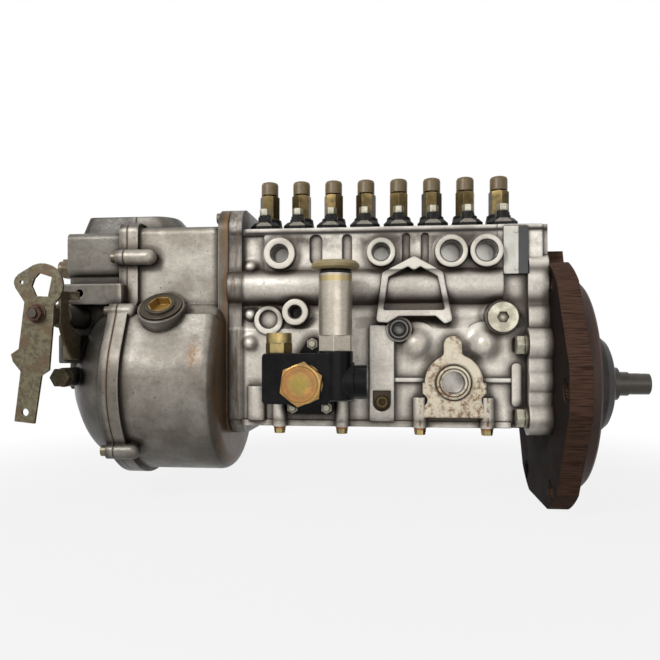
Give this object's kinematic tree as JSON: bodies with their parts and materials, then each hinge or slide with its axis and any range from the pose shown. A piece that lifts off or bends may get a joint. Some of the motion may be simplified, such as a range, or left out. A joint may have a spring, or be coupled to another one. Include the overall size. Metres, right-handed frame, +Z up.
{
  "type": "in-line diesel injection pump",
  "caption": "In-line diesel injection pump with mechanical governor, feed pump with hand primer, control lever and round mounting flange.",
  "frame": {"origin": "camshaft axis at the mounting flange's engine-side face", "axes": "+X along the camshaft towards the drive end, +Z up, -Y towards the feed pump side"},
  "size_m": [0.6185, 0.263, 0.3384],
  "materials": {
    "pump_casting": "cast, sand-blasted",
    "governor_casting": "cast, oily",
    "flange_plate": "flame-cut, brown",
    "pilot_ring": "turned, tarnished brown",
    "bearing_plate": "dark, oily",
    "shaft_steel": "ground, tarnished",
    "zinc_steel": "zinc plated",
    "yellow_zinc": "yellow passivated zinc",
    "blued_steel": "black oxide",
    "inner_steel": "machined, oiled",
    "holder_brass": "yellow passivated",
    "cap_plastic": "moulded, olive brown",
    "gold_plug": "yellow zinc, bright",
    "feed_casting": "black, satin",
    "primer_steel": "satin nickel",
    "knob_plastic": "yellowed nylon",
    "copper_washer": "copper, dull",
    "lever_plate": "olive zinc, some rust",
    "rusty_steel": "brown rust",
    "plate_white": "bare white plate",
    "seal_rubber": "moulded"
  },
  "bodies": {
    "pump": {"barrels": "inner_steel", "bearing_plate": "bearing_plate", "blanking_plug": "blued_steel", "bottom_cover": "pump_casting", "bottom_cover_screws": "yellow_zinc", "bottom_cover_washers": "copper_washer", "bush_nuts": "zinc_steel", "bush_studs": "zinc_steel", "camshaft_bearings": "inner_steel", "delivery_valve_holders": "holder_brass", "delivery_valves": "inner_steel", "feed_piston_and_spring": "inner_steel", "feed_pump_body": "feed_casting", "feed_pump_nuts": "zinc_steel", "feed_pump_plug": "gold_plug", "feed_tappet": "inner_steel", "feed_union": "yellow_zinc", "filler_cap": "blued_steel", "flange_bolt_washers": "zinc_steel", "flange_bolts": "zinc_steel", "flange_bushes": "blued_steel", "gallery_plug": "zinc_steel", "governor_cover": "governor_casting", "governor_housing": "governor_casting", "governor_screws": "zinc_steel", "lever_bracket": "lever_plate", "mounting_flange": "flange_plate", "name_plate": "plate_white", "outlet_caps": "cap_plastic", "pilot_ring": "pilot_ring", "plunger_springs": "inner_steel", "plungers": "inner_steel", "primer_cylinder": "primer_steel", "pump_housing": "pump_casting", "shaft_seal": "seal_rubber", "stop_screws": "zinc_steel", "tappet_rollers": "inner_steel", "tappets": "inner_steel"},
    "drive_shaft": {"camshaft": "shaft_steel", "governor_carrier": "inner_steel", "governor_springs": "inner_steel"},
    "weight_upper": {"flyweight_upper": "inner_steel"},
    "weight_lower": {"flyweight_lower": "inner_steel"},
    "sleeve": {"governor_sleeve": "inner_steel"},
    "lever": {"control_lever": "lever_plate", "lever_shaft": "shaft_steel", "lever_nut": "rusty_steel"},
    "rack": {"control_rack": "inner_steel"},
    "fulcrum": {"fulcrum_lever": "inner_steel"},
    "primer": {"primer_knob": "knob_plastic", "primer_rod": "inner_steel"},
    "element_1": {"control_sleeve_1": "inner_steel"},
    "element_2": {"control_sleeve_2": "inner_steel"},
    "element_3": {"control_sleeve_3": "inner_steel"},
    "element_4": {"control_sleeve_4": "inner_steel"},
    "element_5": {"control_sleeve_5": "inner_steel"},
    "element_6": {"control_sleeve_6": "inner_steel"},
    "element_7": {"control_sleeve_7": "inner_steel"},
    "element_8": {"control_sleeve_8": "inner_steel"}
  },
  "joints": [
    {"name": "camshaft_turn", "type": "hinge", "parent": "pump", "child": "drive_shaft", "pos_m": [0, 0, 0], "axis": [1, 0, 0], "continuous": true},
    {"name": "weight_upper_slide", "type": "slide", "parent": "drive_shaft", "child": "weight_upper", "axis": [0, 0, 1], "range_m": [0, 0.008]},
    {"name": "weight_lower_slide", "type": "slide", "parent": "drive_shaft", "child": "weight_lower", "axis": [0, 0, -1], "range_m": [0, 0.008]},
    {"name": "governor_sleeve_slide", "type": "slide", "parent": "pump", "child": "sleeve", "axis": [-1, 0, 0], "range_m": [0, 0.008]},
    {"name": "control_lever_turn", "type": "hinge", "parent": "pump", "child": "lever", "pos_m": [-0.5015, 0, 0.069], "axis": [0, 1, 0], "range_deg": [-20, 20]},
    {"name": "fulcrum_lever_turn", "type": "hinge", "parent": "pump", "child": "fulcrum", "pos_m": [-0.423, 0, 0], "axis": [0, 1, 0], "range_deg": [-4.6, 4.6]},
    {"name": "rack_slide", "type": "slide", "parent": "pump", "child": "rack", "axis": [1, 0, 0], "range_m": [-0.008, 0.008]},
    {"name": "primer_slide", "type": "slide", "parent": "pump", "child": "primer", "axis": [0, 0, 1], "range_m": [0, 0.028]},
    {"name": "element_1_turn", "type": "hinge", "parent": "pump", "child": "element_1", "pos_m": [-0.305, 0, 0.1], "axis": [0, 0, 1], "range_deg": [-21, 21]},
    {"name": "element_2_turn", "type": "hinge", "parent": "pump", "child": "element_2", "pos_m": [-0.27, 0, 0.1], "axis": [0, 0, 1], "range_deg": [-21, 21]},
    {"name": "element_3_turn", "type": "hinge", "parent": "pump", "child": "element_3", "pos_m": [-0.235, 0, 0.1], "axis": [0, 0, 1], "range_deg": [-21, 21]},
    {"name": "element_4_turn", "type": "hinge", "parent": "pump", "child": "element_4", "pos_m": [-0.2, 0, 0.1], "axis": [0, 0, 1], "range_deg": [-21, 21]},
    {"name": "element_5_turn", "type": "hinge", "parent": "pump", "child": "element_5", "pos_m": [-0.165, 0, 0.1], "axis": [0, 0, 1], "range_deg": [-21, 21]},
    {"name": "element_6_turn", "type": "hinge", "parent": "pump", "child": "element_6", "pos_m": [-0.13, 0, 0.1], "axis": [0, 0, 1], "range_deg": [-21, 21]},
    {"name": "element_7_turn", "type": "hinge", "parent": "pump", "child": "element_7", "pos_m": [-0.095, 0, 0.1], "axis": [0, 0, 1], "range_deg": [-21, 21]},
    {"name": "element_8_turn", "type": "hinge", "parent": "pump", "child": "element_8", "pos_m": [-0.06, 0, 0.1], "axis": [0, 0, 1], "range_deg": [-21, 21]}
  ],
  "couplings": [
    {"joint": "weight_lower_slide", "follows": "weight_upper_slide", "ratio": 1},
    {"joint": "governor_sleeve_slide", "follows": "weight_upper_slide", "ratio": 1},
    {"joint": "rack_slide", "follows": "control_lever_turn", "m_per_rad": 0.02289},
    {"joint": "fulcrum_lever_turn", "follows": "control_lever_turn", "ratio": 0.2289},
    {"joint": "element_1_turn", "follows": "control_lever_turn", "ratio": 1.0404},
    {"joint": "element_2_turn", "follows": "control_lever_turn", "ratio": 1.0404},
    {"joint": "element_3_turn", "follows": "control_lever_turn", "ratio": 1.0404},
    {"joint": "element_4_turn", "follows": "control_lever_turn", "ratio": 1.0404},
    {"joint": "element_5_turn", "follows": "control_lever_turn", "ratio": 1.0404},
    {"joint": "element_6_turn", "follows": "control_lever_turn", "ratio": 1.0404},
    {"joint": "element_7_turn", "follows": "control_lever_turn", "ratio": 1.0404},
    {"joint": "element_8_turn", "follows": "control_lever_turn", "ratio": 1.0404}
  ]
}
